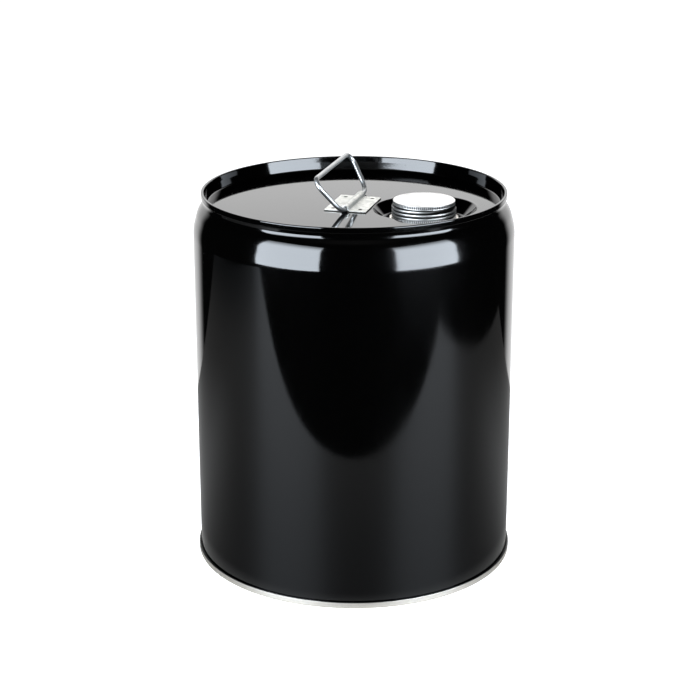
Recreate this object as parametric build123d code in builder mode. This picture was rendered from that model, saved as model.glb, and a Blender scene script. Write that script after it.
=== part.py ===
"""Closed-head steel pail with a spout well, a screw cap and a fold-down handle.

Origin on the pail's axis, in the plane it stands on. +Z up, millimetres.
"""
import math
import os

from build123d import *

os.makedirs("parts", exist_ok=True)

# Sheet steel, and how its layers lie in a double seam
sheet = 0.6
seam_gap = 0.08
layer = sheet + seam_gap
hook_length = 2.3
compound_room = 0.3
hook_gap = 0.36
compound_lap = 0.1
compound_slack = 0.06
fold_bend = 0.55
edge_bend = 0.7

# Shell
height = 340.0
body_r = 143.34
rim_r = 135.8
base_seam_h = 6.0
rim_seam_h = 5.2
shoulder_start_z = 308.0
shoulder_knee_z = 323.0
shoulder_knee_inset = 4.1
neck_turn_z = 330.6
shoulder_bends = [45, 22, 5]
weld_width = 3.0
weld_rise = 0.25
weld_ends_z = (8.0, 302.0)

# Heads
pad_z = 326.0
panel_edge_r = 130.8
panel_edge_z = 328.3
panel_bend = 1.1
wall_lap = 1.0
dish_level_r = 60.0
base_panel_z = 8.0
base_step_r = 112.0
base_step_w = 4.0
base_step_h = 2.4
base_bends = [1.4, 2, 2]

# Spout well, pressed into the top head off its axis
well_distance = 63.66
well_angle = -14.3
well_rim_r = 45.2
well_floor_r = 37.0
well_floor_z = 316.6
well_floor_bend = 2.5
well_hole_r = 27.05
rim_round = 1.2

# Threaded neck and its gasket
neck_r = 26.65
neck_top_z = 332.6
neck_lip_r = 24.6
neck_lip_h = 2.2
neck_foot_r = 30.0
neck_flange_r = 31.0
neck_flange_h = 1.4
gasket_h = 1.0
thread_pitch = 3.2
thread_start_z = 321.2
bead_r = 0.8
bead_turns = 2.875
neck_bends = [0.6, 0.7, 0.7]
flange_edge_r = 0.6
gasket_inset = 0.4
gasket_slack = 0.3

# Screw cap and its liner
cap_top_z = 334.3
cap_sheet = 0.4
skirt_r = 28.1
grip_r = 27.45
grip_z = 331.7
cap_flare_r = 28.6
cap_flare_h = 1.2
cap_bottom_z = 319.75
ring_seat = 0.12
ring_proud = 0.4
ring_half_h = 1.1
ring_turns = 2.8
knurl_count = 100
knurl_depth = 0.2
knurl_r = 0.5
skirt_taper_h = 0.6
cap_bends = [0.3, 0.3, 0.3, 0.3, 0.5]
liner_r = 26.2
liner_h = 1.0
liner_gap = 0.08

# Handle bracket and wire handle
bracket_x = -1.0
bracket_y = -1.3
handle_angle = 74.9
handle_lean = 34.5
handle_slip = 4.8
plate_length = 55.8
plate_width = 37.6
plate_t = 1.2
plate_corner_r = 0.8
spot_pitch_long = 42.5
spot_pitch_wide = 24.8
spot_r = 1.6
spot_depth = 0.35
wire_r = 2.1
wire_above_panel = 0.3
dish_room = 0.22
barrel_bore_r = 2.45
loop_base = 84.2
loop_top = 119.6
loop_height = 36.4
loop_bends = [16.0, 8.0, 8.0, 16.0]
wire_end_gap = 0.5

# Worked out from the driving sizes
body_line_r = body_r - sheet / 2
rim_line_r = rim_r - sheet / 2 - 3 * layer
well_x = well_distance * math.cos(math.radians(well_angle))
well_y = well_distance * math.sin(math.radians(well_angle))
well_axis = Axis((well_x, well_y, 0), (0, 0, 1))
well_section = Plane(origin=(well_x, well_y, 0), x_dir=(1, 0, 0), z_dir=(0, -1, 0))
along = Vector(math.cos(math.radians(handle_angle)), math.sin(math.radians(handle_angle)), 0)
across = Vector(along.Y, -along.X, 0)
bracket_foot = Vector(bracket_x, bracket_y, pad_z + dish_room)
barrel_centre = bracket_foot + Vector(0, 0, wire_r + wire_above_panel)


def finish(part, name):
    """Name a piece and write its STEP file."""
    part.label = name
    export_step(part, f"parts/{name}.step")


def head_edge(line_r, end_z, up, seam_h):
    """Centre line of a head's edge, from its hook round the outside of the seam to the inside."""
    far_z = end_z - up * (seam_h - sheet / 2)
    near_z = end_z - up * sheet / 2
    return [
        (line_r + layer, far_z + up * hook_length),
        (line_r + layer, far_z),
        (line_r + 3 * layer, far_z),
        (line_r + 3 * layer, near_z),
        (line_r - layer, near_z),
    ]


def shell_edge(line_r, end_z, up, seam_h):
    """Centre line of the shell's edge where it is folded back inside a seam."""
    bend_z = end_z - up * (1.5 * sheet + compound_room)
    hook_z = end_z - up * (seam_h - sheet - (hook_gap + sheet))
    return [(line_r + 2 * layer, hook_z), (line_r + 2 * layer, bend_z), (line_r, bend_z)]


def bent_sheet(points, bends, thickness=sheet, section=Plane.XZ, axis=Axis.Z):
    """Revolve a bent strip of sheet about an axis. The points are its centre line."""
    with BuildPart() as piece:
        with BuildSketch(section):
            with BuildLine():
                FilletPolyline(points, radius=bends)
            trace(line_width=thickness)
        revolve(axis=axis)
    return piece.part


def thread(radius, proud, half_h, first_turn, last_turn):
    """A rounded bead along the closure's helix, proud sideways and twice half_h tall."""
    with BuildPart() as bead:
        with BuildLine() as path:
            Helix(
                pitch=thread_pitch,
                height=thread_pitch * (last_turn - first_turn),
                radius=radius,
                center=(well_x, well_y, thread_start_z + thread_pitch * first_turn),
            )
        with BuildSketch(Plane(origin=path.line @ 0, x_dir=(1, 0, 0), z_dir=path.line % 0)):
            Ellipse(proud, half_h)
        sweep(is_frenet=True)
    return bead.part


# Shell: a welded cylinder, necked in at the top, folded into a seam at each end.
shell_line = shell_edge(body_line_r, 0, -1, base_seam_h)
shell_line += [
    (body_line_r, shoulder_start_z),
    (body_line_r - shoulder_knee_inset, shoulder_knee_z),
    (rim_line_r, neck_turn_z),
]
shell_line += reversed(shell_edge(rim_line_r, height, 1, rim_seam_h))
with BuildPart() as body_shell:
    add(bent_sheet(shell_line, [fold_bend, fold_bend] + shoulder_bends + [fold_bend, fold_bend]))
    with BuildSketch(Plane.XY.offset(weld_ends_z[0])):
        with Locations((0, body_r)):
            Rectangle(weld_width, 2 * weld_rise)
    extrude(amount=weld_ends_z[1] - weld_ends_z[0])
finish(body_shell.part, "body_shell")

# Bottom head: a recessed disc with one stiffening step.
base_line_z = base_panel_z + sheet / 2
base_line = head_edge(body_line_r, 0, -1, base_seam_h)
base_line += [
    (body_line_r - layer, base_line_z),
    (base_step_r + base_step_w / 2, base_line_z),
    (base_step_r - base_step_w / 2, base_line_z + base_step_h),
    (0, base_line_z + base_step_h),
]
with BuildPart() as bottom_head:
    add(bent_sheet(base_line, [fold_bend, fold_bend, edge_bend, edge_bend] + base_bends))
finish(bottom_head.part, "bottom_head")

# Top head: a drafted wall down to a shallow dish, with the spout well pressed into it.
wall_r = rim_line_r - layer - sheet / 2
wall_foot_z = height - rim_seam_h
wall_joint_z = wall_foot_z + wall_lap
wall_run = (well_rim_r - well_floor_r) / (pad_z - well_floor_z)
wall_slant = math.hypot(1, wall_run)
well_top_z = (panel_edge_z + wall_foot_z) / 2


def well_wall_r(z, grow):
    """Radius of the well's wall at a height, on its inner face or the face that lies grow outside it."""
    return well_floor_r + wall_run * (z - well_floor_z) + wall_slant * grow


def head_space(grow, rim_r_of_fillet):
    """The space over the top head, with its sheet (grow = sheet) or without it (grow = 0)."""
    panel_end = (panel_edge_r + grow, panel_edge_z - grow)
    well_floor = (well_wall_r(well_floor_z - grow, grow), well_floor_z - grow)
    with BuildPart() as space:
        with BuildSketch(Plane.XZ):
            with BuildLine():
                Bezier((0, pad_z - grow), (dish_level_r, pad_z - grow), panel_end)
                Polyline(
                    panel_end,
                    (wall_r + grow, wall_foot_z),
                    (wall_r + grow, wall_joint_z),
                    (0, wall_joint_z),
                    (0, pad_z - grow),
                )
            make_face()
            fillet(vertices().sort_by_distance(panel_end)[0], radius=panel_bend + grow)
        revolve(axis=Axis.Z)
        with BuildSketch(well_section):
            with BuildLine():
                Polyline(
                    (0, well_floor_z - grow),
                    well_floor,
                    (well_wall_r(well_top_z, grow), well_top_z),
                    (0, well_top_z),
                    close=True,
                )
            make_face()
            fillet(vertices().sort_by_distance(well_floor)[0], radius=well_floor_bend + grow)
        revolve(axis=well_axis)
        rim = edges().filter_by(GeomType.BSPLINE)
        fillet(rim, radius=rim_r_of_fillet)
    return space.part


with BuildPart() as top_head:
    add(head_space(sheet, rim_round))
    add(head_space(0, rim_round + sheet), mode=Mode.SUBTRACT)
    rim_points = head_edge(rim_line_r, height, 1, rim_seam_h) + [(rim_line_r - layer, wall_joint_z)]
    add(bent_sheet(rim_points, [fold_bend, fold_bend, edge_bend, edge_bend]))
    with Locations((well_x, well_y, well_floor_z)):
        Hole(well_hole_r, depth=2 * sheet)
finish(top_head.part, "top_head")

# Seam compound: a thin ring of sealant between the shell's fold and the head curled over it.
seams = {"top_seam_compound": (rim_line_r, height, 1), "bottom_seam_compound": (body_line_r, 0, -1)}
for name, (line_r, end_z, up) in seams.items():
    with BuildPart() as compound:
        with BuildSketch(Plane.XZ):
            with Locations((line_r + layer, end_z - up * (sheet + compound_room / 2))):
                Rectangle(2 * layer + compound_lap, compound_room - compound_slack)
        revolve(axis=Axis.Z)
    finish(compound.part, name)

# Neck: a drawn tube with a rolled lip, a flange above the well floor and a foot clenched below it.
neck_line_r = neck_r - sheet / 2
foot_line_z = well_floor_z - 1.5 * sheet
flange_z = well_floor_z + gasket_h
neck_line = [
    (neck_foot_r, foot_line_z),
    (neck_line_r, foot_line_z),
    (neck_line_r, neck_top_z - sheet / 2),
    (neck_lip_r + sheet / 2, neck_top_z - sheet / 2),
    (neck_lip_r + sheet / 2, neck_top_z - neck_lip_h),
]
with BuildPart() as spout_neck:
    add(bent_sheet(neck_line, neck_bends, sheet, well_section, well_axis))
    with BuildSketch(well_section):
        with Locations(((neck_flange_r + neck_line_r) / 2, flange_z + neck_flange_h / 2)):
            Rectangle(neck_flange_r - neck_line_r, neck_flange_h)
        fillet(vertices().sort_by(Axis.X)[-2:], radius=flange_edge_r)
    revolve(axis=well_axis)
    add(thread(neck_r, bead_r, bead_r, 0, bead_turns))
finish(spout_neck.part, "spout_neck")

with BuildPart() as neck_gasket:
    with BuildSketch(Plane.XY.offset(well_floor_z)):
        with Locations((well_x, well_y)):
            Circle(neck_flange_r - gasket_inset)
            Circle(neck_r + gasket_slack, mode=Mode.SUBTRACT)
    extrude(amount=gasket_h)
finish(neck_gasket.part, "neck_gasket")

# Screw cap: thin pressed sheet with the thread rolled through it and a knurled grip above.
cap_line = [
    (cap_flare_r - cap_sheet / 2, cap_bottom_z),
    (cap_flare_r - cap_sheet / 2, cap_bottom_z + cap_flare_h),
    (skirt_r - cap_sheet / 2, cap_bottom_z + cap_flare_h + skirt_taper_h),
    (skirt_r - cap_sheet / 2, grip_z - skirt_taper_h),
    (grip_r - cap_sheet / 2, grip_z),
    (grip_r - cap_sheet / 2, cap_top_z - cap_sheet / 2),
    (0, cap_top_z - cap_sheet / 2),
]
with BuildPart() as screw_cap:
    add(bent_sheet(cap_line, cap_bends, cap_sheet, well_section, well_axis))
    add(thread(skirt_r + ring_seat, ring_proud, ring_half_h, 0, ring_turns))
    with BuildSketch(Plane.XY.offset(cap_top_z - 2 * cap_sheet)):
        with Locations((well_x, well_y)):
            with PolarLocations(grip_r + knurl_r - knurl_depth, knurl_count):
                Circle(knurl_r)
    extrude(amount=grip_z + cap_sheet / 2 - (cap_top_z - 2 * cap_sheet), mode=Mode.SUBTRACT)
finish(screw_cap.part, "screw_cap")

with BuildPart() as cap_liner:
    with BuildSketch(Plane.XY.offset(cap_top_z - cap_sheet - liner_gap)):
        with Locations((well_x, well_y)):
            Circle(liner_r)
    extrude(amount=-liner_h)
finish(cap_liner.part, "cap_liner")

# Handle bracket: a spot-welded plate with a barrel pressed up along its middle for the wire.
barrel_r = barrel_bore_r + plate_t
barrel_rise = wire_r + wire_above_panel
bracket_end = Plane(origin=bracket_foot - along * (plate_length / 2), x_dir=-across, z_dir=along)
bracket_top = Plane(origin=bracket_foot + Vector(0, 0, plate_t), x_dir=along, z_dir=(0, 0, 1))
with BuildPart() as handle_bracket:
    with BuildSketch(bracket_end):
        with Locations((0, plate_t / 2)):
            Rectangle(plate_width, plate_t)
        with Locations((0, barrel_rise)):
            Circle(barrel_r)
            Circle(barrel_bore_r, mode=Mode.SUBTRACT)
        with Locations((0, barrel_rise / 2)):
            Rectangle(2 * barrel_bore_r, barrel_rise, mode=Mode.SUBTRACT)
        with Locations((0, -plate_width / 2)):
            Rectangle(plate_width, plate_width, mode=Mode.SUBTRACT)
    extrude(amount=plate_length)
    upright = edges().filter_by(Axis.Z)
    corner_distance = plate_length / 2 + plate_corner_r
    corners = [edge for edge in upright if (edge.center() - bracket_foot).length > corner_distance]
    fillet(corners, radius=plate_corner_r)
    with BuildSketch(bracket_top):
        with GridLocations(spot_pitch_long, spot_pitch_wide, 2, 2):
            Circle(spot_r)
    extrude(amount=-spot_depth, mode=Mode.SUBTRACT)
finish(handle_bracket.part, "handle_bracket")

# Handle: one bent wire loop, its two ends meeting inside the barrel.
lean = math.radians(handle_lean)
loop_up = Vector(0, 0, math.cos(lean)) - across * math.sin(lean)
loop_plane = Plane(
    origin=barrel_centre + along * handle_slip, x_dir=along, z_dir=along.cross(loop_up)
)
with BuildPart() as handle_wire:
    with BuildLine(loop_plane) as loop:
        FilletPolyline(
            (-wire_end_gap / 2, 0),
            (-loop_base / 2, 0),
            (-loop_top / 2, loop_height),
            (loop_top / 2, loop_height),
            (loop_base / 2, 0),
            (wire_end_gap / 2, 0),
            radius=loop_bends,
        )
    with BuildSketch(Plane(origin=loop.line @ 0, z_dir=loop.line % 0)):
        Circle(wire_r)
    sweep()
finish(handle_wire.part, "handle_wire")
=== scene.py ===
"""Looks of the closed-head pail: gloss black enamel, tinplate base, neck and cap, galvanised handle."""
import math

import bpy
import numpy as np
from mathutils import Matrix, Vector


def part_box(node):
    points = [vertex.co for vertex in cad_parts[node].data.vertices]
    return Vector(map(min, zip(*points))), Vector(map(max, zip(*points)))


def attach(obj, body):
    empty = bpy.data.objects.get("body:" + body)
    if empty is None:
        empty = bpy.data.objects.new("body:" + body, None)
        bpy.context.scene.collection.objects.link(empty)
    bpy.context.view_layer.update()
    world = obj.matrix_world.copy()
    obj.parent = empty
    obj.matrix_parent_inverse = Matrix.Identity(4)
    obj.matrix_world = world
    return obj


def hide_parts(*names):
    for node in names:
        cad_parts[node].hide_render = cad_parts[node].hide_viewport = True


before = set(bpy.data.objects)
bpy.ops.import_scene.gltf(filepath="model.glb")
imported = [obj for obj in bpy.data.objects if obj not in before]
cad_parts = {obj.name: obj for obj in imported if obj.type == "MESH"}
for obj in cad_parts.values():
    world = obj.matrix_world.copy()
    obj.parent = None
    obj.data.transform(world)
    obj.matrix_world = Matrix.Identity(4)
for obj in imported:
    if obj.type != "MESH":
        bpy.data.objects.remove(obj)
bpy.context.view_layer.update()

MM = 0.001
TURN = 2 * math.pi

# ---------------------------------------------------------------- sizes, from the frame and the sheet
# Folded sheet: LAYER is the distance between the layers of a seam, HOOK the length of its hooks.
SHEET = 0.6 * MM
LAYER = 0.68 * MM
HOOK = 2.3 * MM
COMPOUND = 0.3 * MM
HOOK_GAP = 0.36 * MM
RIM_SEAM = 5.2 * MM
BASE_SEAM = 6.0 * MM
RIM_LEAN = 0.8 * MM
FOLD_BEND = 0.55 * MM
EDGE_BEND = 0.7 * MM

head_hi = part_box("top_head")[1]
base_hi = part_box("bottom_head")[1]
cap_lo, cap_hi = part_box("screw_cap")
neck_lo, neck_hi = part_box("spout_neck")
gasket_lo, gasket_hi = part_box("neck_gasket")
liner_lo, liner_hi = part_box("cap_liner")
plate_lo, plate_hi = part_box("handle_bracket")

HEIGHT = head_hi.z
RIM_LINE = head_hi.x - SHEET / 2 - 3 * LAYER
BODY_LINE = base_hi.x - SHEET / 2 - 3 * LAYER

# The pail's own axis, the columns of a ring round it, and the spout well.
AXIS = Vector((0, 0, 0))
AROUND = 360
WELL = Vector(((gasket_lo.x + gasket_hi.x) / 2, (gasket_lo.y + gasket_hi.y) / 2, 0))
WELL_FLOOR = gasket_lo.z
WELL_RIM_R = 45.2 * MM
WELL_FLOOR_R = 37.0 * MM
WELL_BEND = 2.5 * MM
WELL_HOLE_R = 27.05 * MM
WELL_ROUND = 1.2 * MM

# The head's panel: the dish rises from PAD_Z at its middle to PANEL_EDGE_Z at its edge.
PAD_Z = 326.0 * MM
PANEL_EDGE_R = 130.8 * MM
PANEL_EDGE_Z = 328.3 * MM
PANEL_BEND = 1.1 * MM
DISH_LEVEL_R = 60.0 * MM

# The closure's thread: RIDGE_HALF is half of a ridge's width as a share of the pitch.
PITCH = 3.2 * MM
THREAD_Z = 321.2 * MM
RIDGE_HALF = 0.42


# ---------------------------------------------------------------- outlines
def beside(direction, side):
    """The direction turned a quarter: to its left for side 1 and to its right for side -1."""
    return side * np.stack([-direction[..., 1], direction[..., 0]], axis=-1)


def bent_line(points, bends, step=9.0):
    """The line through the points with its corners rounded, as (point, direction) pairs.

    A point is a pair of numbers, or one pair for each column of a ring. An arc is cut into steps
    of no more than step degrees.
    """
    points = [np.asarray(p, float) for p in points]
    runs = [b - a for a, b in zip(points, points[1:])]
    ways = [run / np.linalg.norm(run, axis=-1, keepdims=True) for run in runs]
    line, run_start = [(points[0], ways[0])], points[0]
    for corner, bend, way_in, way_out in zip(points[1:], bends, ways, ways[1:]):
        left = beside(way_in, 1)
        turn = np.arctan2((left * way_out).sum(-1), (way_in * way_out).sum(-1))[..., None]
        side = np.sign(turn)
        arc_start = corner - way_in * bend * np.tan(np.abs(turn) / 2)
        centre = arc_start + side * bend * left
        line += supports(run_start, arc_start, way_in)
        count = max(2, math.ceil(math.degrees(np.abs(turn).max()) / step))
        for k in range(count + 1):
            way = np.cos(turn * k / count) * way_in + np.sin(turn * k / count) * left
            line.append((centre + side * bend * beside(way, -1), way))
        run_start = line[-1][0]
    line += supports(run_start, points[-1], ways[-1])
    line.append((points[-1], ways[-1]))
    return line


def supports(start, end, way):
    """Two points near the ends of a straight run, which keep its shading flat."""
    gap = np.minimum(0.5 * MM, np.linalg.norm(end - start, axis=-1, keepdims=True) / 3)
    return [(start + gap * way, way), (end - gap * way, way)]


def faces_of_strip(points, bends, step=9.0):
    """The right and left faces of a bent strip of sheet whose centre line is given."""
    line = bent_line(points, bends, step)
    right = [p + SHEET / 2 * beside(way, -1) for p, way in line]
    left = [p + SHEET / 2 * beside(way, 1) for p, way in line]
    return right, left


def strip(points, bends, step=9.0):
    """Closed outline of that strip."""
    right, left = faces_of_strip(points, bends, step)
    return right + left[::-1]


def head_edge(line_r, end_z, up, seam_h, lean=0.0):
    """Centre line of a head's edge: hook, outside of the seam, over its end, to the inside.

    lean is how far the inside stands out at the seam's end.
    """
    far_z = end_z - up * (seam_h - SHEET / 2)
    near_z = end_z - up * SHEET / 2
    return [
        (line_r + LAYER, far_z + up * HOOK),
        (line_r + LAYER, far_z),
        (line_r + 3 * LAYER, far_z),
        (line_r + 3 * LAYER, near_z),
        (line_r - LAYER + lean, near_z),
    ]


def shell_edge(line_r, end_z, up, seam_h, lean=0.0):
    """Centre line of the shell's edge, folded back inside a seam."""
    bend_z = end_z - up * (1.5 * SHEET + COMPOUND)
    hook_z = end_z - up * (seam_h - 2 * SHEET - HOOK_GAP)
    return [(line_r + 2 * LAYER, hook_z), (line_r + 2 * LAYER, bend_z), (line_r + lean, bend_z)]


# ---------------------------------------------------------------- meshes
def piece(name, verts, faces, body, slot, nodes, sharp=50):
    """A smooth-shaded mesh that rides on a body and stands for CAD nodes."""
    mesh = bpy.data.meshes.new(name)
    mesh.from_pydata(np.asarray(verts).tolist(), [], faces)
    mesh.validate()
    mesh.polygons.foreach_set("use_smooth", [True] * len(mesh.polygons))
    mesh.set_sharp_from_angle(angle=math.radians(sharp))
    thing = bpy.data.objects.new(name, mesh)
    bpy.context.scene.collection.objects.link(thing)
    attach(thing, body)
    if nodes:
        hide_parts(*nodes)
    return thing


def quads(rows, columns, closed_rows=True):
    """Quads between rows of points; each row is a ring of columns."""
    faces = []
    for i in range(rows if closed_rows else rows - 1):
        low, high = i * columns, (i + 1) % rows * columns
        for k in range(columns):
            n = (k + 1) % columns
            faces.append((low + k, low + n, high + n, high + k))
    return faces


def bar_faces(rows, columns):
    """Faces of a bar through rows of points, with both ends closed."""
    ends = [tuple(range(columns))[::-1], tuple(range((rows - 1) * columns, rows * columns))]
    return quads(rows, columns, closed_rows=False) + ends


def facing_out(verts, faces):
    """The faces, turned over if they enclose a negative volume."""
    corners = np.asarray(verts)[[(f[0], i, j) for f in faces for i, j in zip(f[1:], f[2:])]]
    volume = (corners[:, 0] * np.cross(corners[:, 1], corners[:, 2])).sum()
    return faces if volume > 0 else [face[::-1] for face in faces]


def skin(name, rings, *args, **kwargs):
    """A closed skin through rings of equal length; the last ring joins the first."""
    rings = np.array(rings)
    verts = rings.reshape(-1, 3)
    faces = quads(*rings.shape[:2])
    return piece(name, verts, facing_out(verts, faces), *args, **kwargs)


def mark(thing, name, values):
    """Give a piece a number at each vertex for its material to read."""
    thing.data.attributes.new(name, "FLOAT", "POINT").data.foreach_set("value", np.asarray(values, float))


def ring(centre, r, z, angles):
    """A level ring; r and z may change round it."""
    r = np.broadcast_to(r, angles.shape)
    z = np.broadcast_to(z, angles.shape)
    return np.stack([centre.x + r * np.cos(angles), centre.y + r * np.sin(angles), z], axis=1)


def round_angles(count):
    return np.arange(count) * TURN / count


def turned(name, outline, centre, count, *args, **kwargs):
    """A piece turned about an upright axis from a closed outline that stays off the axis."""
    angles = round_angles(count)
    return skin(name, [ring(centre, p[0], p[1], angles) for p in outline], *args, **kwargs)


def soft_step(x, start, end):
    """0 before start, 1 after end and smooth between."""
    t = np.clip((x - start) / (end - start), 0, 1)
    return t * t * (3 - 2 * t)


# ---------------------------------------------------------------- shell and bottom
def body_shell():
    """Welded cylinder, necked in at the top and folded into a seam at each end."""
    shoulder_drop, waist_drop, neck_drop, waist_in = 32 * MM, 17 * MM, 9.4 * MM, 4.1 * MM
    shoulder_bend, waist_bend, neck_bend = 45 * MM, 22 * MM, 5 * MM
    line = shell_edge(BODY_LINE, 0, -1, BASE_SEAM)
    line += [
        (BODY_LINE, HEIGHT - shoulder_drop),
        (BODY_LINE - waist_in, HEIGHT - waist_drop),
        (RIM_LINE, HEIGHT - neck_drop),
    ]
    line += reversed(shell_edge(RIM_LINE, HEIGHT, 1, RIM_SEAM, RIM_LEAN))
    bends = [FOLD_BEND, FOLD_BEND, shoulder_bend, waist_bend, neck_bend, FOLD_BEND, FOLD_BEND]
    turned("shell", strip(line, bends, step=3), AXIS, AROUND, "pail", "shell_enamel", ["body_shell"])


def weld_strip():
    """Side weld at the back: a low flat bead standing on the shell, tapered at its ends."""
    bottom, top, taper = 8 * MM, HEIGHT - 38 * MM, 2 * MM
    half, rise, edge, buried, sink = 1.5 * MM, 0.25 * MM, 0.4 * MM, 0.3 * MM, 0.01 * MM
    right = [(half - edge, rise), (half, 0), (half, -buried)]
    section = [(-x, y) for x, y in right[::-1]] + right
    face_y = BODY_LINE + SHEET / 2 - sink
    stations = [(bottom, 0), (bottom + taper, 1), (top - taper, 1), (top, 0)]
    verts = [(x, face_y + (y * lift if y > 0 else y), z) for z, lift in stations for x, y in section]
    faces = bar_faces(len(stations), len(section))
    piece("weld", verts, facing_out(verts, faces), "pail", "shell_enamel", [])


def bottom_head():
    """Recessed disc with one stiffening step, hooked round the shell's edge."""
    line_z, step_r, step_h, step_run = 8.3 * MM, 112 * MM, 2.4 * MM, 4 * MM
    middle, wall_bend, step_bend = 0.4 * MM, 1.4 * MM, 2 * MM
    line = head_edge(BODY_LINE, 0, -1, BASE_SEAM)
    line += [
        (BODY_LINE - LAYER, line_z),
        (step_r + step_run / 2, line_z),
        (step_r - step_run / 2, line_z + step_h),
        (middle, line_z + step_h),
    ]
    bends = [FOLD_BEND, FOLD_BEND, EDGE_BEND, EDGE_BEND, wall_bend, step_bend, step_bend]
    turned("base", strip(line, bends), AXIS, AROUND, "pail", "tinplate", ["bottom_head"])


# ---------------------------------------------------------------- top head
WELL_RUN = (WELL_RIM_R - WELL_FLOOR_R) / (PAD_Z - WELL_FLOOR)
WELL_SLANT = math.hypot(1, WELL_RUN)
DISH_SLOPE = (PANEL_EDGE_Z - PAD_Z) / (PANEL_EDGE_R - DISH_LEVEL_R)


def dish_z(r):
    """Height of the head's dish at a distance from the pail's axis."""
    bow = PANEL_EDGE_R - 2 * DISH_LEVEL_R
    t = (-DISH_LEVEL_R + np.sqrt(DISH_LEVEL_R**2 + bow * r)) / bow
    return PAD_Z + (PANEL_EDGE_Z - PAD_Z) * t * t


def dish_at(centre, r, angles, drop):
    """Points of the dish on a ring, as pairs of distance from the ring's centre and height."""
    from_axis = np.hypot(centre.x + r * np.cos(angles), centre.y + r * np.sin(angles))
    return np.stack([r, dish_z(from_axis) - drop], axis=1)


def well_wall_r(z, drop):
    return WELL_FLOOR_R + WELL_RUN * (z - WELL_FLOOR) + WELL_SLANT * drop


def panel_rings(angles, drop, blend_rows):
    """One face of the panel, from the foot of the wall to the hole for the neck.

    drop is 0 for the upper face and the sheet's thickness for the lower one.
    """
    edge = np.array([PANEL_EDGE_R + drop, PANEL_EDGE_Z - drop])
    bend, dish_gap, rim_gap, rim_passes = PANEL_BEND + drop, 4, 1.5 * MM, 6
    dish_start = edge - dish_gap * bend * np.array([1, DISH_SLOPE])
    wall_top = (RIM_LINE - LAYER - SHEET / 2 + drop, HEIGHT - RIM_SEAM)
    foot = bent_line([wall_top, edge, dish_start], [bend])[1:]
    rings = [ring(AXIS, p[0], p[1], angles) for p, _ in foot]

    outer = rings[-1]
    well_angles = np.arctan2(outer[:, 1] - WELL.y, outer[:, 0] - WELL.x)
    rim_r = np.full(angles.shape, WELL_RIM_R)
    for _ in range(rim_passes):
        rim = dish_at(WELL, rim_r, well_angles, drop)
        rim_r = well_wall_r(rim[:, 1], drop)
    round_r = WELL_ROUND + SHEET - drop
    start = dish_at(WELL, rim_r + rim_gap, well_angles, drop)
    floor_z = WELL_FLOOR - drop
    floor = np.broadcast_to([well_wall_r(floor_z, drop), floor_z], rim.shape)
    hole = np.broadcast_to([WELL_HOLE_R, floor_z], rim.shape)
    well = bent_line([start, rim, floor, hole], [round_r, WELL_BEND + drop])

    inner = ring(WELL, start[:, 0], start[:, 1], well_angles)
    for k in range(1, blend_rows):
        row = outer + (inner - outer) * k / blend_rows
        row[:, 2] = dish_z(np.hypot(row[:, 0], row[:, 1])) - drop
        rings.append(row)
    return rings + [ring(WELL, p[:, 0], p[:, 1], well_angles) for p, _ in well]


def top_head():
    """Seam, drafted wall and dish with the spout well pressed into it, as one skin of sheet."""
    angles, upper_rows, lower_rows = round_angles(400), 40, 10
    line = head_edge(RIM_LINE, HEIGHT, 1, RIM_SEAM, RIM_LEAN) + [(RIM_LINE - LAYER, HEIGHT - RIM_SEAM)]
    shown, hidden = faces_of_strip(line, [FOLD_BEND, FOLD_BEND, EDGE_BEND, EDGE_BEND])
    upper = [ring(AXIS, p[0], p[1], angles) for p in shown[:-1]] + panel_rings(angles, 0, upper_rows)
    lower = [ring(AXIS, p[0], p[1], angles) for p in hidden[:-1]] + panel_rings(angles, SHEET, lower_rows)
    skin("head", upper + lower[::-1], "pail", "head_enamel", ["top_head"])


# ---------------------------------------------------------------- neck, cap and liner
def thread_wave(angles, z, turns, fade):
    """The closure's helix as a rounded ridge: 1 on its crest, 0 in the valleys, faded at both ends."""
    phase = (z - THREAD_Z) / PITCH - angles / TURN
    turn = np.round(phase)
    nearest = turn + angles / TURN
    held = soft_step(nearest, -fade, fade) * (1 - soft_step(nearest, turns - fade, turns + fade))
    return np.sqrt(np.clip(1 - ((phase - turn) / RIDGE_HALF) ** 2, 0, 1)) * held


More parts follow.
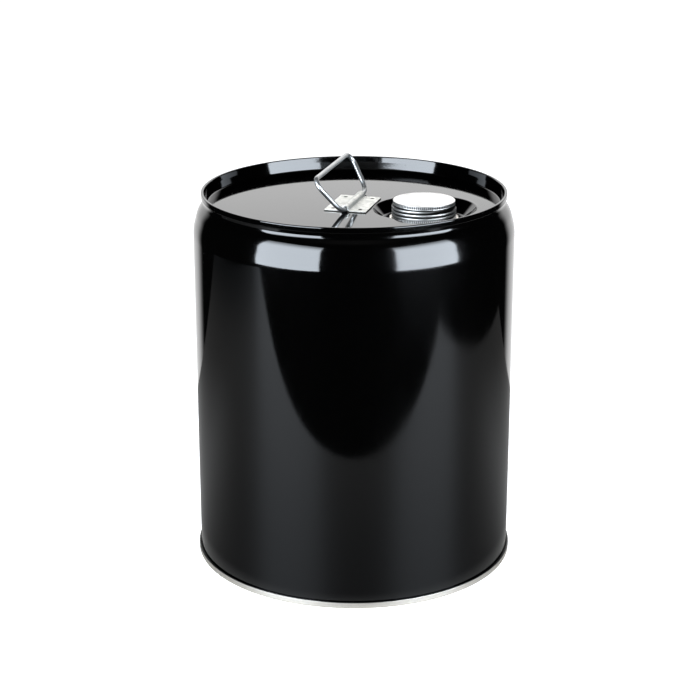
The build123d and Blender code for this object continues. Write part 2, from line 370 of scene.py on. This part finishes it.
def spout_neck():
    """Drawn tube with a rolled lip, a flange on the gasket, a clenched foot and one rolled thread."""
    angles = round_angles(300)
    neck_r, lip_r, foot_r, flange_r = 26.65 * MM, 24.6 * MM, 30.0 * MM, 31.0 * MM
    lip_h, flange_h, bead, top = 2.2 * MM, 1.4 * MM, 0.8 * MM, neck_hi.z
    thread_turns, thread_fade, row_gap, hair = 2.875, 0.06, 0.25 * MM, 0.001 * MM
    flange_low, foot_low = gasket_hi.z, neck_lo.z
    outside = [
        (lip_r, top - lip_h),
        (lip_r, top),
        (neck_r, top),
        (neck_r, flange_low + flange_h),
        (flange_r, flange_low + flange_h),
        (flange_r, flange_low),
        (neck_r, flange_low),
        (neck_r, foot_low + SHEET),
        (foot_r, foot_low + SHEET),
        (foot_r, foot_low),
        (neck_r - SHEET, foot_low),
        (neck_r - SHEET, top - SHEET),
        (lip_r + SHEET, top - SHEET),
        (lip_r + SHEET, top - lip_h),
    ]
    small, roll, corner, inner = 0.15 * MM, 0.9 * MM, 0.5 * MM, 0.3 * MM
    flange_bend, seat_bend = 1.1 * MM, 0.2 * MM
    bends = [roll, roll, corner, flange_bend, seat_bend, small, small, small, small, roll, inner, inner]
    line = [p for p, _ in bent_line(outside, bends)]
    rings = []
    for here, after in zip(line, line[1:] + line[:1]):
        rows = max(1, round(np.linalg.norm(after - here) / row_gap))
        straight = max(abs(here[0] - neck_r), abs(after[0] - neck_r)) < hair and here[1] > flange_low
        for k in range(rows if straight else 1):
            r, z = here + (after - here) * k / rows
            wave = thread_wave(angles, z, thread_turns, thread_fade) * bead if straight else 0
            rings.append(ring(WELL, r + wave, z, angles))
    skin("neck", rings, "pail", "neck_tinplate", ["spout_neck"])


def screw_cap():
    """Thin pressed cap: beaded skirt, thread rolled through the sheet and a knurled grip."""
    angles = round_angles(800)
    low, top, crest_r = cap_lo.z, cap_hi.z, (cap_hi.x - cap_lo.x) / 2
    grip_r, skirt_r, sheet, middle = 27.45 * MM, 27.62 * MM, 0.34 * MM, 0.3 * MM
    grip_z, bead_z, bead_fade, panel_drop = 331.3 * MM, 320.6 * MM, 0.5 * MM, 0.15 * MM
    thread_turns, thread_fade, thread_drop = 2.8, 0.12, 0.8 * MM
    knurls, knurl_depth, knurl_power = 100, 0.22 * MM, 1.5
    lid_bends = [0.42 * MM, 0.4 * MM, 0.4 * MM]
    lid_edge, step_out, step_in = top - 0.5 * MM, grip_r - 1.5 * MM, grip_r - 2.0 * MM
    skirt_rows, grip_rows = 84, 10
    thread_h = crest_r - skirt_r

    def skirt(z):
        thread = thread_wave(angles, z + thread_drop, thread_turns, thread_fade)
        thread = thread * (1 - soft_step(z, grip_z - 0.9 * MM, grip_z - 0.1 * MM))
        bead = 1 - soft_step(z, bead_z, bead_z + bead_fade)
        return skirt_r + thread_h * np.maximum(thread, bead)

    def grip(z):
        held = soft_step(z, grip_z + 0.1 * MM, grip_z + 0.4 * MM)
        held *= 1 - soft_step(z, top - 0.6 * MM, top - 0.4 * MM)
        return grip_r - knurl_depth * (0.5 - 0.5 * np.cos(knurls * angles)) ** knurl_power * held

    heights = np.linspace(low + 0.25 * MM, grip_z - 0.2 * MM, skirt_rows)
    shape = [(crest_r - 0.5 * MM, low), (crest_r - 0.2 * MM, low)] + [(skirt(z), z) for z in heights]
    shape += [(grip(z), z) for z in np.linspace(grip_z + 0.1 * MM, lid_edge, grip_rows)]
    panel_z, grip_inside = top - panel_drop, grip_r - knurl_depth - sheet
    lid = [(grip_r, lid_edge), (grip_r, top), (step_out, top), (step_in, panel_z), (middle, panel_z)]
    shape += [p for p, _ in bent_line(lid, lid_bends)][2:]
    shape += [(middle, panel_z - sheet), (step_in, panel_z - sheet)]
    shape += [(grip_inside, top - 0.8 * MM), (grip_inside, grip_z)]
    shape += [(skirt(z) - sheet, z) for z in heights[:0:-2]]
    made = skin("cap", [ring(WELL, r, z, angles) for r, z in shape], "cap", "cap_tinplate", ["screw_cap"])

    # Painted shade: the thread valleys and the gaps between knurl teeth are coloured near black, while the
    # crests, the tops of the teeth and the lid keep the metal's colour.
    shaded_groove_share, crest_shine, tooth_shine, crest_start = 0.02, 0.88, 0.78, 0.35
    unshaded = []
    for r, z in shape:
        crest = shaded_groove_share + crest_shine * soft_step(r, skirt_r + crest_start * thread_h, crest_r) ** 1.5
        tooth = shaded_groove_share + tooth_shine * soft_step(r, grip_r - knurl_depth, grip_r) ** 2
        side = crest if np.mean(z) < grip_z else tooth
        lid_shine = soft_step(z, top - 0.45 * MM, top - 0.2 * MM)
        unshaded.append(np.broadcast_to(np.maximum(side, lid_shine), angles.shape))
    mark(made, "unshaded", np.concatenate(unshaded))


def cap_liner():
    """Pulp disc that seals the cap, with soft edges and the ring that the neck presses into it."""
    low, top, r = liner_lo.z, liner_hi.z, (liner_hi.x - liner_lo.x) / 2
    dent, dent_r, dent_w, slope, middle = 0.15 * MM, 25.6 * MM, 0.9 * MM, 0.3 * MM, 0.3 * MM
    edge_bend, dent_bend = 0.2 * MM, 0.15 * MM
    outline = [
        (middle, low),
        (dent_r - dent_w - slope, low),
        (dent_r - dent_w, low + dent),
        (dent_r, low + dent),
        (r, low),
        (r, top),
        (middle, top),
    ]
    bends = [edge_bend, dent_bend, dent_bend, edge_bend, edge_bend]
    line = [p for p, _ in bent_line(outline, bends, step=20)]
    turned("liner", line, WELL, 160, "liner", "liner_board", ["cap_liner"])


def neck_gasket():
    """Rubber ring squeezed between the neck's flange and the well floor."""
    low, top, r = gasket_lo.z, gasket_hi.z, (gasket_hi.x - gasket_lo.x) / 2
    hole_r, bulge, edge_bend, bulge_bend = 26.95 * MM, 0.25 * MM, 0.1 * MM, 0.3 * MM
    outline = [(hole_r, low), (r - bulge, low), (r, (low + top) / 2), (r - bulge, top), (hole_r, top)]
    line = [p for p, _ in bent_line(outline, [edge_bend, bulge_bend, edge_bend], step=20)]
    turned("gasket", line, WELL, 200, "pail", "gasket_rubber", ["neck_gasket"])


# ---------------------------------------------------------------- handle
HANDLE_TURN = math.radians(74.9)
HANDLE_LEAN = math.radians(34.5)
ALONG = Vector((math.cos(HANDLE_TURN), math.sin(HANDLE_TURN), 0))
ACROSS = Vector((ALONG.y, -ALONG.x, 0))
UP = Vector((0, 0, 1))
FOOT = Vector(((plate_lo.x + plate_hi.x) / 2, (plate_lo.y + plate_hi.y) / 2, plate_lo.z))
WIRE_R = 2.1 * MM
BARREL_RISE = WIRE_R + 0.3 * MM
BARREL_R = 2.45 * MM
PLATE_T = 1.2 * MM


def plate_profile(half):
    """Cross-section of the bracket: plate, soft shoulders and the barrel pressed up for the wire."""
    outer, shoulder = BARREL_R + PLATE_T, 0.9 * MM
    flat_points, shoulder_points, arch_points, bore_points = 40, 6, 14, 20
    rise = PLATE_T + shoulder - BARREL_RISE
    reach = math.sqrt((outer + shoulder) ** 2 - rise**2)
    touch = math.atan2(rise, reach)
    right = [(x, PLATE_T) for x in np.linspace(half, reach, flat_points)]
    for a in np.linspace(-math.pi / 2, touch - math.pi, shoulder_points)[1:]:
        right.append((reach + shoulder * math.cos(a), PLATE_T + shoulder + shoulder * math.sin(a)))
    for a in np.linspace(touch, math.pi / 2, arch_points)[1:]:
        right.append((outer * math.cos(a), BARREL_RISE + outer * math.sin(a)))
    upper = right + [(-x, z) for x, z in right[::-1][1:]]
    bore = [(-half, 0), (-BARREL_R, 0), (-BARREL_R, BARREL_RISE)]
    for a in np.linspace(0, math.pi, bore_points)[1:-1]:
        bore.append((-BARREL_R * math.cos(a), BARREL_RISE + BARREL_R * math.sin(a)))
    return upper + bore + [(BARREL_R, BARREL_RISE), (BARREL_R, 0), (half, 0)]


def handle_bracket():
    """Spot-welded plate with the wire's barrel along its middle."""
    length, width, corner, worn = 55.8 * MM, 37.6 * MM, 0.8 * MM, 0.12 * MM
    spot_long, spot_wide, spot_r, spot_depth = 42.5 * MM, 24.8 * MM, 1.9 * MM, 0.45 * MM
    crease_x, crease_w, crease_shade, edge_shade, wear_w = 4.2 * MM, 0.5 * MM, 0.06, 0.25, 0.25 * MM
    corner_rows, middle_rows, sharp = 9, 130, 35
    profile = plate_profile(width / 2)
    ends = corner * (1 - np.cos(np.linspace(0, math.pi / 2, corner_rows)))
    middle = np.linspace(corner, length - corner, middle_rows)[1:-1]
    stations = np.concatenate([ends, middle, length - ends[::-1]])
    verts, weld_spots_and_shade = [], []
    for station in stations:
        from_end = min(station, length - station, corner)
        half = width / 2 - corner + math.sqrt(corner**2 - (corner - from_end) ** 2)
        along = station - length / 2
        for x, z in profile:
            side = math.copysign(min(abs(x), half), x)
            # Painted shade: a dark line along each crease beside the barrel, and dark raw edges, darkest
            # at the bottom of the plate; the weld spots get dark weld marks.
            weld_spot_and_shade = crease_shade * (1 - soft_step(abs(abs(x) - crease_x), 0, crease_w))
            if z == 0:
                weld_spot_and_shade = edge_shade
            if z == PLATE_T:
                off_spot = math.hypot(abs(along) - spot_long / 2, abs(side) - spot_wide / 2)
                spot = 1 - soft_step(off_spot, 0.5 * spot_r, spot_r)
                z -= spot_depth * spot + worn * (1 - soft_step(half - abs(side), 0, wear_w))
                weld_spot_and_shade = max(weld_spot_and_shade, spot)
            verts.append(FOOT + ALONG * along - ACROSS * side + UP * z)
            weld_spots_and_shade.append(weld_spot_and_shade)
    faces = facing_out(verts, bar_faces(len(stations), len(profile)))
    made = piece("bracket", verts, faces, "pail", "galvanised_plate", ["handle_bracket"], sharp)
    mark(made, "weld_spot_and_shade", weld_spots_and_shade)


def tube(name, line, normal, radius, sides, *args):
    """A round wire along a flat line of (point, direction) pairs, with its length kept as UV."""
    verts, lengths, length = [], [], 0.0
    for n, (p, way) in enumerate(line):
        if n:
            length += (p - line[n - 1][0]).length
        lengths.append(length)
        side = normal.cross(way).normalized()
        for k in range(sides):
            a = TURN * k / sides
            verts.append(p + radius * (side * math.cos(a) + normal * math.sin(a)))
    thing = piece(name, verts, facing_out(verts, bar_faces(len(line), sides)), *args)
    wrap = thing.data.uv_layers.new(name="run")
    for loop in thing.data.loops:
        row, k = divmod(loop.vertex_index, sides)
        wrap.data[loop.index].uv = (abs(k / sides - 0.5) * 2, lengths[row])


def handle_wire():
    """One bent wire loop whose ends meet inside the barrel."""
    base, top, height, gap, slip = 84.2 * MM, 119.6 * MM, 36.4 * MM, 0.5 * MM, 4.8 * MM
    base_bend, top_bend, sides = 16 * MM, 8 * MM, 32
    up = UP * math.cos(HANDLE_LEAN) - ACROSS * math.sin(HANDLE_LEAN)
    start = FOOT + UP * BARREL_RISE + ALONG * slip
    left = [(-gap / 2, 0), (-base / 2, 0), (-top / 2, height)]
    corners = left + [(-x, z) for x, z in left[::-1]]
    flat = bent_line(corners, [base_bend, top_bend, top_bend, base_bend], step=6)
    line = [(start + ALONG * p[0] + up * p[1], ALONG * way[0] + up * way[1]) for p, way in flat]
    tube("handle", line, ALONG.cross(up), WIRE_R, sides, "handle", "galvanised_wire", ["handle_wire"])


# ---------------------------------------------------------------- materials
class Graph:
    """Short names for building in a node tree."""

    def __init__(self, tree):
        self.tree = tree

    def node(self, kind, **settings):
        made = self.tree.nodes.new(kind)
        for name, value in settings.items():
            setattr(made, name, value)
        return made

    def feed(self, socket, value):
        if isinstance(value, bpy.types.NodeSocket):
            self.tree.links.new(value, socket)
        else:
            socket.default_value = value

    def axes(self, vector):
        """The X, Y and Z of a vector."""
        split = self.node("ShaderNodeSeparateXYZ")
        self.feed(split.inputs[0], vector)
        return split.outputs

    def spread(self, value, low, high, to_low=0.0, to_high=1.0):
        """Smooth step from to_low to to_high while the value goes from low to high."""
        made = self.node("ShaderNodeMapRange", interpolation_type="SMOOTHSTEP")
        for socket, number in zip(made.inputs[:5], (value, low, high, to_low, to_high)):
            self.feed(socket, number)
        return made.outputs["Result"]

    def combine(self, operation, *values):
        """The values taken together one after the other by a maths operation."""
        total = values[0]
        for value in values[1:]:
            made = self.node("ShaderNodeMath", operation=operation)
            self.feed(made.inputs[0], total)
            self.feed(made.inputs[1], value)
            total = made.outputs[0]
        return total


class Recipe(Graph):
    """A node material round one Principled shader, read in the row frame in metres."""

    def __init__(self, name, metallic):
        self.material = bpy.data.materials.new(name)
        self.material.use_nodes = True
        super().__init__(self.material.node_tree)
        self.shader = self.tree.nodes["Principled BSDF"]
        self.feed(self.shader.inputs["Metallic"], metallic)
        self.place = self.node("ShaderNodeTexCoord").outputs["Object"]

    def stretched(self, x, y, z, source=None):
        mapping = self.node("ShaderNodeMapping")
        self.feed(mapping.inputs["Scale"], (x, y, z))
        self.feed(mapping.inputs["Vector"], source or self.place)
        return mapping.outputs["Vector"]

    def noise(self, scale, detail=3.0, rough=0.5, source=None):
        made = self.node("ShaderNodeTexNoise")
        self.feed(made.inputs["Scale"], scale)
        self.feed(made.inputs["Detail"], detail)
        self.feed(made.inputs["Roughness"], rough)
        self.feed(made.inputs["Vector"], source or self.place)
        return made.outputs["Fac"]

    def cells(self, scale):
        """A random grey for each cell."""
        made = self.node("ShaderNodeTexVoronoi")
        self.feed(made.inputs["Scale"], scale)
        self.feed(made.inputs["Vector"], self.place)
        grey = self.node("ShaderNodeRGBToBW")
        self.feed(grey.inputs[0], made.outputs["Color"])
        return grey.outputs[0]

    def vertex_number(self, name):
        return self.node("ShaderNodeAttribute", attribute_name=name).outputs["Fac"]

    def blend(self, amount, first, second):
        made = self.node("ShaderNodeMix", data_type="RGBA")
        self.feed(made.inputs["Factor"], amount)
        for socket, colour in (("A", first), ("B", second)):
            is_link = isinstance(colour, bpy.types.NodeSocket)
            self.feed(made.inputs[socket], colour if is_link else (*colour, 1))
        return made.outputs["Result"]

    def bump(self, *layers):
        """Bump from (height, depth in metres) pairs, one over the other."""
        normal = None
        for height, depth in layers:
            made = self.node("ShaderNodeBump")
            self.feed(made.inputs["Distance"], depth)
            self.feed(made.inputs["Height"], height)
            if normal:
                self.feed(made.inputs["Normal"], normal)
            normal = made.outputs["Normal"]
        self.feed(self.shader.inputs["Normal"], normal)

    def finish(self, colour, roughness):
        self.feed(self.shader.inputs["Base Color"], colour)
        self.feed(self.shader.inputs["Roughness"], roughness)
        return self.material


def enamel(name, gloss, ripple):
    """Baked black enamel: orange peel, slow waves of the sheet, wiped smears, dust and hair scratches."""
    paint = Recipe(name, 0.0)
    paint.feed(paint.shader.inputs["IOR"], 1.5)
    smears = paint.spread(paint.noise(9, 4, 0.6, paint.stretched(1, 1, 0.35)), 0.42, 0.7)
    hairs = paint.spread(paint.noise(1, 2, 0.5, paint.stretched(900, 900, 14)), 0.70, 0.76)
    cross_hairs = paint.spread(paint.noise(1, 2, 0.5, paint.stretched(30, 40, 1400)), 0.71, 0.77)
    scratched = paint.combine("MAXIMUM", hairs, cross_hairs)
    dust = paint.spread(paint.noise(1500, 1), 0.74, 0.80)
    specks = paint.combine("MULTIPLY", dust, paint.noise(30, 2))
    colour = paint.blend(specks, (0.0002, 0.0002, 0.0002), (0.004, 0.004, 0.004))
    roughness = paint.combine(
        "ADD",
        paint.spread(smears, 0, 1, gloss, gloss + 0.05),
        paint.spread(scratched, 0, 1, 0, 0.05),
        paint.spread(specks, 0, 1, 0, 0.3),
    )
    paint.bump(
        (paint.noise(14, 1, 0.4, paint.stretched(1, 1, 0.4)), 0.04 * MM * ripple),
        (paint.noise(700, 1), 0.004 * MM),
        (scratched, -0.002 * MM),
    )
    return paint.finish(colour, roughness)


def tinplate(name, tint, gloss, grain, unshaded="", groove_z=None):
    """Tinplate: rolling grain, faint stains, small dents and scratches.

    The vertex number given after grain is 0 in grooves, which are painted near black as shade, and
    1 where the metal keeps its colour. Above groove_z the metal is painted near black as shade in a
    crevice.
    """
    tin = Recipe(name, 1.0)
    lines = tin.noise(1, 3, 0.6, tin.stretched(*grain))
    stains = tin.spread(tin.noise(45, 5, 0.65), 0.4, 0.75)
    marks = tin.spread(tin.noise(1, 2, 0.5, tin.stretched(120, 900, 700)), 0.68, 0.74)
    dull = tuple(0.72 * c for c in tint)
    colour = tin.blend(tin.spread(stains, 0, 1, 0, 0.55), tint, dull)
    colour = tin.blend(tin.spread(marks, 0, 1, 0, 0.35), colour, (0.45, 0.44, 0.42))
    roughness = tin.combine(
        "ADD",
        tin.spread(stains, 0, 1, gloss, gloss + 0.10),
        tin.spread(lines, 0.3, 0.7, -0.04, 0.04),
        tin.spread(marks, 0, 1, 0, 0.12),
    )
    # Painted shade: grooves are coloured near black where the vertex number is 0.
    if unshaded:
        colour = tin.blend(tin.vertex_number(unshaded), (0.012, 0.011, 0.010), colour)
    # Painted shade: the crevice above groove_z is coloured near black.
    if groove_z:
        crevice_shade = tin.spread(tin.axes(tin.place)["Z"], groove_z, groove_z + 0.5 * MM)
        colour = tin.blend(crevice_shade, colour, (0.01, 0.01, 0.01))
    tin.bump((lines, 0.004 * MM), (tin.noise(160, 2), 0.03 * MM), (marks, -0.01 * MM))
    return tin.finish(colour, roughness)


def galvanised(name, tint, gloss, along_run):
    """Zinc-plated steel: spangle on the plate, draw lines on the wire, white bloom and dull spots.

    along_run is true for the wire. The plate is darkened where its vertices say so: at its weld spots, as
    weld marks, and with painted shade along the creases beside the barrel and on its edges.
    """
    zinc = Recipe(name, 1.0)
    bloom = zinc.spread(zinc.noise(130, 5, 0.7), 0.45, 0.75)
    if along_run:
        run = zinc.node("ShaderNodeUVMap", uv_map="run").outputs["UV"]
        figure = zinc.noise(1, 3, 0.6, zinc.stretched(26, 40, 1, run))
    else:
        figure = zinc.cells(330)
    dull = tuple(0.70 * c for c in tint)
    colour = zinc.blend(zinc.spread(figure, 0.2, 0.8, 0, 0.5), tint, dull)
    colour = zinc.blend(zinc.spread(bloom, 0, 1, 0, 0.35), colour, tuple(1.25 * c for c in tint))
    if not along_run:
        # Near black at the weld spots, as weld marks, and as painted shade along the creases and edges.
        weld_spot_and_shade = zinc.spread(zinc.vertex_number("weld_spot_and_shade"), 0.0, 0.15)
        colour = zinc.blend(weld_spot_and_shade, colour, (0.05, 0.045, 0.04))
    roughness = zinc.combine(
        "ADD",
        zinc.spread(figure, 0.2, 0.8, gloss - 0.05, gloss + 0.05),
        zinc.spread(bloom, 0, 1, 0, 0.15),
    )
    zinc.bump((figure, 0.006 * MM), (zinc.noise(900, 3, 0.6), 0.008 * MM), (zinc.noise(150, 2), 0.03 * MM))
    return zinc.finish(colour, roughness)


def seam_compound():
    """Grey latex sealant, matt and slightly lumpy."""
    latex = Recipe("seam_compound", 0.0)
    lumps = latex.noise(500, 4, 0.6)
    latex.bump((lumps, 0.05 * MM))
    colour = latex.blend(lumps, (0.20, 0.20, 0.19), (0.34, 0.33, 0.31))
    return latex.finish(colour, latex.spread(lumps, 0.3, 0.7, 0.55, 0.75))


def gasket_rubber():
    """Black rubber with mould bloom and fine grit."""
    rubber = Recipe("gasket_rubber", 0.0)
    bloom = rubber.spread(rubber.noise(90, 5, 0.7), 0.4, 0.75)
    rubber.bump((rubber.noise(2500, 2), 0.02 * MM))
    colour = rubber.blend(bloom, (0.012, 0.012, 0.012), (0.05, 0.05, 0.05))
    return rubber.finish(colour, rubber.spread(bloom, 0, 1, 0.5, 0.75))


def liner_board():
    """Pale pulp board: mottled fibres, matt."""
    pulp = Recipe("liner_board", 0.0)
    fibres = pulp.noise(1, 4, 0.7, pulp.stretched(700, 1500, 700))
    pulp.bump((fibres, 0.04 * MM))
    colour = pulp.blend(pulp.noise(400, 4, 0.6), (0.70, 0.64, 0.52), (0.82, 0.78, 0.68))
    return pulp.finish(colour, pulp.spread(fibres, 0.3, 0.7, 0.75, 0.95))


def paint_pieces():
    """Each piece's own finish."""
    tin, cap_tin = (0.76, 0.72, 0.66), (0.84, 0.83, 0.81)
    plate_zinc, wire_zinc = (0.77, 0.77, 0.73), (0.55, 0.56, 0.56)
    compound = seam_compound()
    finishes = {
        "shell": enamel("shell_enamel", 0.06, 1.0),
        "head": enamel("head_enamel", 0.045, 0.6),
        "base": tinplate("tinplate", tin, 0.34, (60, 60, 5000), groove_z=5.1 * MM),
        "neck": tinplate("neck_tinplate", tin, 0.26, (60, 60, 6000)),
        "cap": tinplate("cap_tinplate", cap_tin, 0.38, (60, 4000, 4000), unshaded="unshaded"),
        "bracket": galvanised("galvanised_plate", plate_zinc, 0.42, False),
        "handle": galvanised("galvanised_wire", wire_zinc, 0.36, True),
        "gasket": gasket_rubber(),
        "liner": liner_board(),
    }
    finishes["weld"] = finishes["shell"]
    for name, material in finishes.items():
        bpy.data.objects[name].data.materials.append(material)
    for name in ("top_seam_compound", "bottom_seam_compound"):
        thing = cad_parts[name]
        if not thing.material_slots:
            thing.data.materials.append(compound)
        for slot in thing.material_slots:
            slot.link = "OBJECT"
            slot.material = compound


# ---------------------------------------------------------------- stage, light and camera
def stage_sheet(name, outline, height):
    """A flat level piece of the stage."""
    mesh = bpy.data.meshes.new(name)
    corners = [(x, y, height) for x, y in outline]
    mesh.from_pydata(corners, [], [tuple(range(len(corners)))])
    sheet = bpy.data.objects.new(name, mesh)
    bpy.context.scene.collection.objects.link(sheet)
    return sheet


def pale_floor():
    """White table: diffuse for the camera, with some light of its own, so that it stays white."""
    radius, own_light = 8.0, 0.9
    outline = [(radius * math.cos(a), radius * math.sin(a)) for a in round_angles(96)]
    floor = stage_sheet("floor", outline, 0.0)
    floor.visible_glossy = False
    white = Recipe("floor_white", 0.0)
    white.feed(white.shader.inputs["Emission Color"], (1, 1, 1, 1))
    white.feed(white.shader.inputs["Emission Strength"], own_light)
    colour = white.blend(white.noise(3, 2), (0.80, 0.80, 0.80), (0.82, 0.82, 0.82))
    floor.data.materials.append(white.finish(colour, 0.9))


def grey_table():
    """What the pail's gloss sees under it: a satin grey table top, with a dark room past its edges."""
    left, right, front, back, lift = -1.15, 0.78, -0.49, 0.42, 0.0002
    table = stage_sheet("table", [(left, front), (right, front), (right, back), (left, back)], lift)
    table.visible_camera = table.visible_diffuse = table.visible_shadow = False
    satin = Recipe("table_satin", 0.0)
    length = satin.node("ShaderNodeVectorMath", operation="LENGTH")
    satin.feed(length.inputs[0], satin.place)
    away, axes = length.outputs["Value"], satin.axes(satin.place)
    # Painted light and shade on the table: darker close to the pail as painted shade, painted pools of
    # light beside the pail and in a ring round its base, and a fade to dark at the far left.
    paler = satin.spread(away, 0.16, 0.55)
    light_pool_at_base = satin.spread(away, 0.150, 0.172, 1.0, 0.0)
    near = satin.spread(away, 0.35, 0.75, 1.0, 0.0)
    light_pool_beside_pail = satin.combine("MULTIPLY", satin.spread(axes["Y"], -0.12, 0.15), near)
    far_left = satin.spread(axes["X"], left, -0.7, 1.0, 0.0)
    colour = satin.blend(paler, (0.080, 0.073, 0.067), (0.142, 0.130, 0.118))
    colour = satin.blend(light_pool_beside_pail, colour, (0.33, 0.31, 0.29))
    colour = satin.blend(light_pool_at_base, colour, (0.33, 0.31, 0.285))
    colour = satin.blend(far_left, colour, (0.03, 0.03, 0.03))
    table.data.materials.append(satin.finish(colour, 0.6))


def studio_world():
    """White for the camera; for everything else a bright backdrop behind and a dark room in front."""
    world = bpy.data.worlds.new("studio")
    bpy.context.scene.world = world
    world.use_nodes = True
    sky = Graph(world.node_tree)
    shine, output = sky.tree.nodes["Background"], sky.tree.nodes["World Output"]
    way = sky.axes(sky.node("ShaderNodeTexCoord").outputs["Generated"])
    behind = sky.spread(way["Y"], 0.70, 0.84)
    backdrop = sky.combine("MULTIPLY", behind, sky.spread(way["Z"], 0.16, 0.34, 1.2, 2.05))
    ceiling = sky.spread(way["Z"], 0.75, 1.0, 0.004, 0.25)
    sky.feed(shine.inputs["Strength"], sky.combine("MAXIMUM", backdrop, ceiling))
    sky.feed(shine.inputs["Color"], (1, 1, 1, 1))

    blank = sky.node("ShaderNodeBackground")
    sky.feed(blank.inputs["Strength"], 1.1)
    sky.feed(blank.inputs["Color"], (1, 1, 1, 1))
    pick = sky.node("ShaderNodeMixShader")
    sky.feed(pick.inputs["Fac"], sky.node("ShaderNodeLightPath").outputs["Is Camera Ray"])
    sky.feed(pick.inputs[1], shine.outputs[0])
    sky.feed(pick.inputs[2], blank.outputs[0])
    sky.feed(output.inputs["Surface"], pick.outputs[0])


def soft_box(name, azimuth, width, height, radiance):
    """An upright lamp beside the camera, dimmer at its top. Azimuth 0 is in front and 90 to the right."""
    distance, bottom, edge, fade_from, top_share = 1.6, 0.02, 0.03, 0.60, 0.30
    lamp = bpy.data.lights.new(name, "AREA")
    lamp.shape = "RECTANGLE"
    lamp.size, lamp.size_y = width, height
    lamp.color = (0.83, 0.91, 1.0)
    lamp.energy = radiance * math.pi * width * height
    lamp.use_nodes = True
    glow = Graph(lamp.node_tree)
    across = glow.axes(glow.node("ShaderNodeNewGeometry").outputs["Parametric"])
    left_edge = glow.spread(across["X"], 0.0, edge)
    right_edge = glow.spread(across["X"], 1 - edge, 1.0, 1.0, 0.0)
    upper = glow.spread(across["Y"], fade_from, 1.0, 1.0, top_share)
    emission = glow.tree.nodes["Emission"]
    glow.feed(emission.inputs["Strength"], glow.combine("MULTIPLY", left_edge, right_edge, upper))
    box = bpy.data.objects.new(name, lamp)
    turn = math.radians(azimuth)
    box.location = (distance * math.sin(turn), -distance * math.cos(turn), bottom + height / 2)
    box.rotation_euler = (math.radians(90), 0.0, turn)
    box.visible_camera = False
    bpy.context.scene.collection.objects.link(box)


def lights():
    studio_world()
    soft_box("softbox_left", -46, 1.40, 1.50, 15.0)
    soft_box("softbox_right", 51, 1.38, 1.38, 15.0)


def camera():
    """Fitted to the reference's ellipses: a long lens, looking along +Y and down."""
    focal_length, back, above, looking_down, swing = 94.247, 1.5876, 0.7230, 18.583, 0.13
    lens = bpy.data.cameras.new("camera")
    lens.sensor_width = 36.0
    lens.lens = focal_length
    lens.clip_end = 50.0
    eye = bpy.data.objects.new("camera", lens)
    eye.location = (0.0, -back, above)
    eye.rotation_euler = (math.radians(90 - looking_down), 0.0, math.radians(swing))
    bpy.context.scene.collection.objects.link(eye)
    bpy.context.scene.camera = eye


# ---------------------------------------------------------------- build
bpy.context.scene.view_settings.view_transform = "Standard"
body_shell()
weld_strip()
bottom_head()
top_head()
spout_neck()
neck_gasket()
screw_cap()
cap_liner()
handle_bracket()
handle_wire()
paint_pieces()
pale_floor()
grey_table()
lights()
camera()
